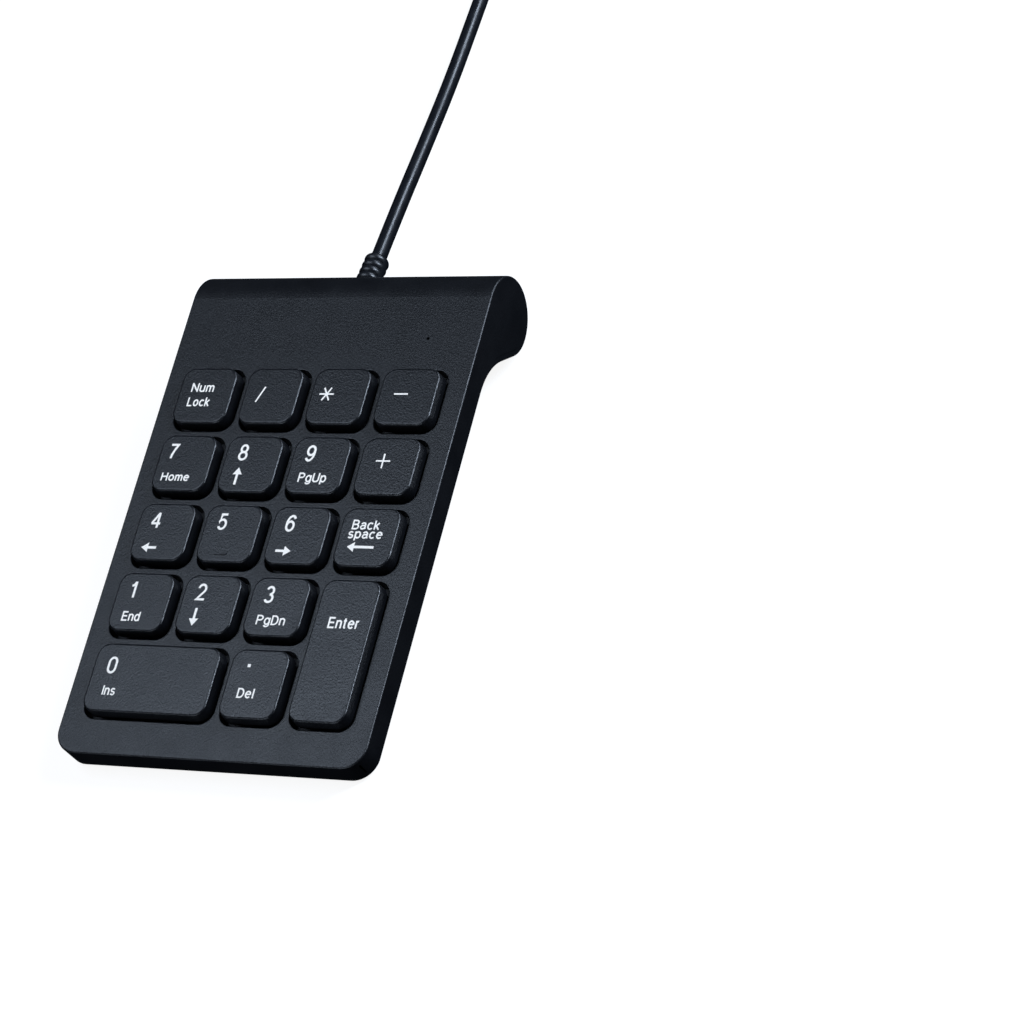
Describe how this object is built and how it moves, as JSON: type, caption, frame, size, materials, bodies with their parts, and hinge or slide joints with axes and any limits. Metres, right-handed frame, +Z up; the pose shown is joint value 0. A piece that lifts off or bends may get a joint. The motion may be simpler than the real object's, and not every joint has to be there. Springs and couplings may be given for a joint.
{
  "type": "numeric keypad",
  "caption": "Wired desktop numeric keypad: thin sloping deck with raised square keys, a round bar along the rear edge, ribbed strain relief and a coiled cable with plug.",
  "frame": {"origin": "middle of the keypad's footprint at the surface that its feet rest on, without the free cable", "axes": "+X to the right, +Y to the rear where the cable leaves, +Z up"},
  "size_m": [0.1173, 0.354, 0.0227],
  "materials": {
    "case_plastic": "fine matte moulded grain, near black with a blue cast",
    "key_plastic": "fine matte moulded grain, slightly lighter than the case",
    "inner_plastic": "plain moulded",
    "silicone": "translucent white silicone",
    "film": "clear polyester film",
    "spring_steel": "drawn wire",
    "board": "green solder mask",
    "component": "moulded packages",
    "led": "clear lens",
    "pressed_steel": "zinc plated sheet",
    "screw_steel": "zinc plated",
    "foot_rubber": "matte rubber",
    "relief_rubber": "soft satin PVC",
    "cable_jacket": "satin PVC jacket",
    "tie_plastic": "flat band",
    "plug_plastic": "soft moulded PVC",
    "plug_steel": "nickel plated shell",
    "tongue_plastic": "white moulded",
    "lead_insulation": "thin insulation"
  },
  "bodies": {
    "case": {"board_components": "component", "board_screws": "screw_steel", "bottom_case": "case_plastic", "cable_coil": "cable_jacket", "cable_leads": "lead_insulation", "cable_tie": "tie_plastic", "case_screws": "screw_steel", "circuit_board": "board", "dome_0": "silicone", "dome_1": "silicone", "dome_2": "silicone", "dome_3": "silicone", "dome_4": "silicone", "dome_5": "silicone", "dome_6": "silicone", "dome_7": "silicone", "dome_8": "silicone", "dome_9": "silicone", "dome_backspace": "silicone", "dome_decimal": "silicone", "dome_divide": "silicone", "dome_enter": "silicone", "dome_minus": "silicone", "dome_multiply": "silicone", "dome_num_lock": "silicone", "dome_plus": "silicone", "key_guide": "inner_plastic", "membrane_lower": "film", "membrane_spacer": "film", "membrane_upper": "film", "pressure_bar": "pressed_steel", "rubber_feet": "foot_rubber", "status_led": "led", "strain_relief": "relief_rubber", "tail_pad": "silicone", "top_case": "case_plastic", "usb_cable": "cable_jacket", "usb_plug_grip": "plug_plastic", "usb_plug_shell": "plug_steel", "usb_plug_tongue": "tongue_plastic"},
    "key_0": {"key_0": "key_plastic"},
    "key_1": {"key_1": "key_plastic"},
    "key_2": {"key_2": "key_plastic"},
    "key_3": {"key_3": "key_plastic"},
    "key_4": {"key_4": "key_plastic"},
    "key_5": {"key_5": "key_plastic"},
    "key_6": {"key_6": "key_plastic"},
    "key_7": {"key_7": "key_plastic"},
    "key_8": {"key_8": "key_plastic"},
    "key_9": {"key_9": "key_plastic"},
    "key_backspace": {"key_backspace": "key_plastic"},
    "key_decimal": {"key_decimal": "key_plastic"},
    "key_divide": {"key_divide": "key_plastic"},
    "key_enter": {"key_enter": "key_plastic"},
    "key_minus": {"key_minus": "key_plastic"},
    "key_multiply": {"key_multiply": "key_plastic"},
    "key_num_lock": {"key_num_lock": "key_plastic"},
    "key_plus": {"key_plus": "key_plastic"},
    "stabiliser_enter": {"stabiliser_enter": "spring_steel"},
    "stabiliser_zero": {"stabiliser_zero": "spring_steel"}
  },
  "joints": [
    {"name": "press_num_lock", "type": "slide", "parent": "case", "child": "key_num_lock", "axis": [0, 0.1184, -0.993], "range_m": [0, 0.002], "stiffness_N_per_m": 180, "springref_m": -0.002, "deforming": ["dome_num_lock"]},
    {"name": "press_divide", "type": "slide", "parent": "case", "child": "key_divide", "axis": [0, 0.1184, -0.993], "range_m": [0, 0.002], "stiffness_N_per_m": 180, "springref_m": -0.002, "deforming": ["dome_divide"]},
    {"name": "press_multiply", "type": "slide", "parent": "case", "child": "key_multiply", "axis": [0, 0.1184, -0.993], "range_m": [0, 0.002], "stiffness_N_per_m": 180, "springref_m": -0.002, "deforming": ["dome_multiply"]},
    {"name": "press_minus", "type": "slide", "parent": "case", "child": "key_minus", "axis": [0, 0.1184, -0.993], "range_m": [0, 0.002], "stiffness_N_per_m": 180, "springref_m": -0.002, "deforming": ["dome_minus"]},
    {"name": "press_7", "type": "slide", "parent": "case", "child": "key_7", "axis": [0, 0.1184, -0.993], "range_m": [0, 0.002], "stiffness_N_per_m": 180, "springref_m": -0.002, "deforming": ["dome_7"]},
    {"name": "press_8", "type": "slide", "parent": "case", "child": "key_8", "axis": [0, 0.1184, -0.993], "range_m": [0, 0.002], "stiffness_N_per_m": 180, "springref_m": -0.002, "deforming": ["dome_8"]},
    {"name": "press_9", "type": "slide", "parent": "case", "child": "key_9", "axis": [0, 0.1184, -0.993], "range_m": [0, 0.002], "stiffness_N_per_m": 180, "springref_m": -0.002, "deforming": ["dome_9"]},
    {"name": "press_plus", "type": "slide", "parent": "case", "child": "key_plus", "axis": [0, 0.1184, -0.993], "range_m": [0, 0.002], "stiffness_N_per_m": 180, "springref_m": -0.002, "deforming": ["dome_plus"]},
    {"name": "press_4", "type": "slide", "parent": "case", "child": "key_4", "axis": [0, 0.1184, -0.993], "range_m": [0, 0.002], "stiffness_N_per_m": 180, "springref_m": -0.002, "deforming": ["dome_4"]},
    {"name": "press_5", "type": "slide", "parent": "case", "child": "key_5", "axis": [0, 0.1184, -0.993], "range_m": [0, 0.002], "stiffness_N_per_m": 180, "springref_m": -0.002, "deforming": ["dome_5"]},
    {"name": "press_6", "type": "slide", "parent": "case", "child": "key_6", "axis": [0, 0.1184, -0.993], "range_m": [0, 0.002], "stiffness_N_per_m": 180, "springref_m": -0.002, "deforming": ["dome_6"]},
    {"name": "press_backspace", "type": "slide", "parent": "case", "child": "key_backspace", "axis": [0, 0.1184, -0.993], "range_m": [0, 0.002], "stiffness_N_per_m": 180, "springref_m": -0.002, "deforming": ["dome_backspace"]},
    {"name": "press_1", "type": "slide", "parent": "case", "child": "key_1", "axis": [0, 0.1184, -0.993], "range_m": [0, 0.002], "stiffness_N_per_m": 180, "springref_m": -0.002, "deforming": ["dome_1"]},
    {"name": "press_2", "type": "slide", "parent": "case", "child": "key_2", "axis": [0, 0.1184, -0.993], "range_m": [0, 0.002], "stiffness_N_per_m": 180, "springref_m": -0.002, "deforming": ["dome_2"]},
    {"name": "press_3", "type": "slide", "parent": "case", "child": "key_3", "axis": [0, 0.1184, -0.993], "range_m": [0, 0.002], "stiffness_N_per_m": 180, "springref_m": -0.002, "deforming": ["dome_3"]},
    {"name": "press_enter", "type": "slide", "parent": "case", "child": "key_enter", "axis": [0, 0.1184, -0.993], "range_m": [0, 0.002], "stiffness_N_per_m": 240, "springref_m": -0.002, "deforming": ["dome_enter"]},
    {"name": "press_0", "type": "slide", "parent": "case", "child": "key_0", "axis": [0, 0.1184, -0.993], "range_m": [0, 0.002], "stiffness_N_per_m": 240, "springref_m": -0.002, "deforming": ["dome_0"]},
    {"name": "press_decimal", "type": "slide", "parent": "case", "child": "key_decimal", "axis": [0, 0.1184, -0.993], "range_m": [0, 0.002], "stiffness_N_per_m": 180, "springref_m": -0.002, "deforming": ["dome_decimal"]},
    {"name": "stabiliser_enter_turn", "type": "hinge", "parent": "case", "child": "stabiliser_enter", "pos_m": [0.0229, -0.03963, 0.00918], "axis": [0, 0.993, 0.1184], "range_deg": [0, 24.25]},
    {"name": "stabiliser_zero_turn", "type": "hinge", "parent": "case", "child": "stabiliser_zero", "pos_m": [-0.019, -0.0435, 0.00872], "axis": [1, 0, 0], "range_deg": [0, 24.25]}
  ],
  "couplings": [
    {"joint": "stabiliser_enter_turn", "follows": "press_enter", "rad_per_m": 209.87},
    {"joint": "stabiliser_zero_turn", "follows": "press_0", "rad_per_m": 209.87}
  ]
}
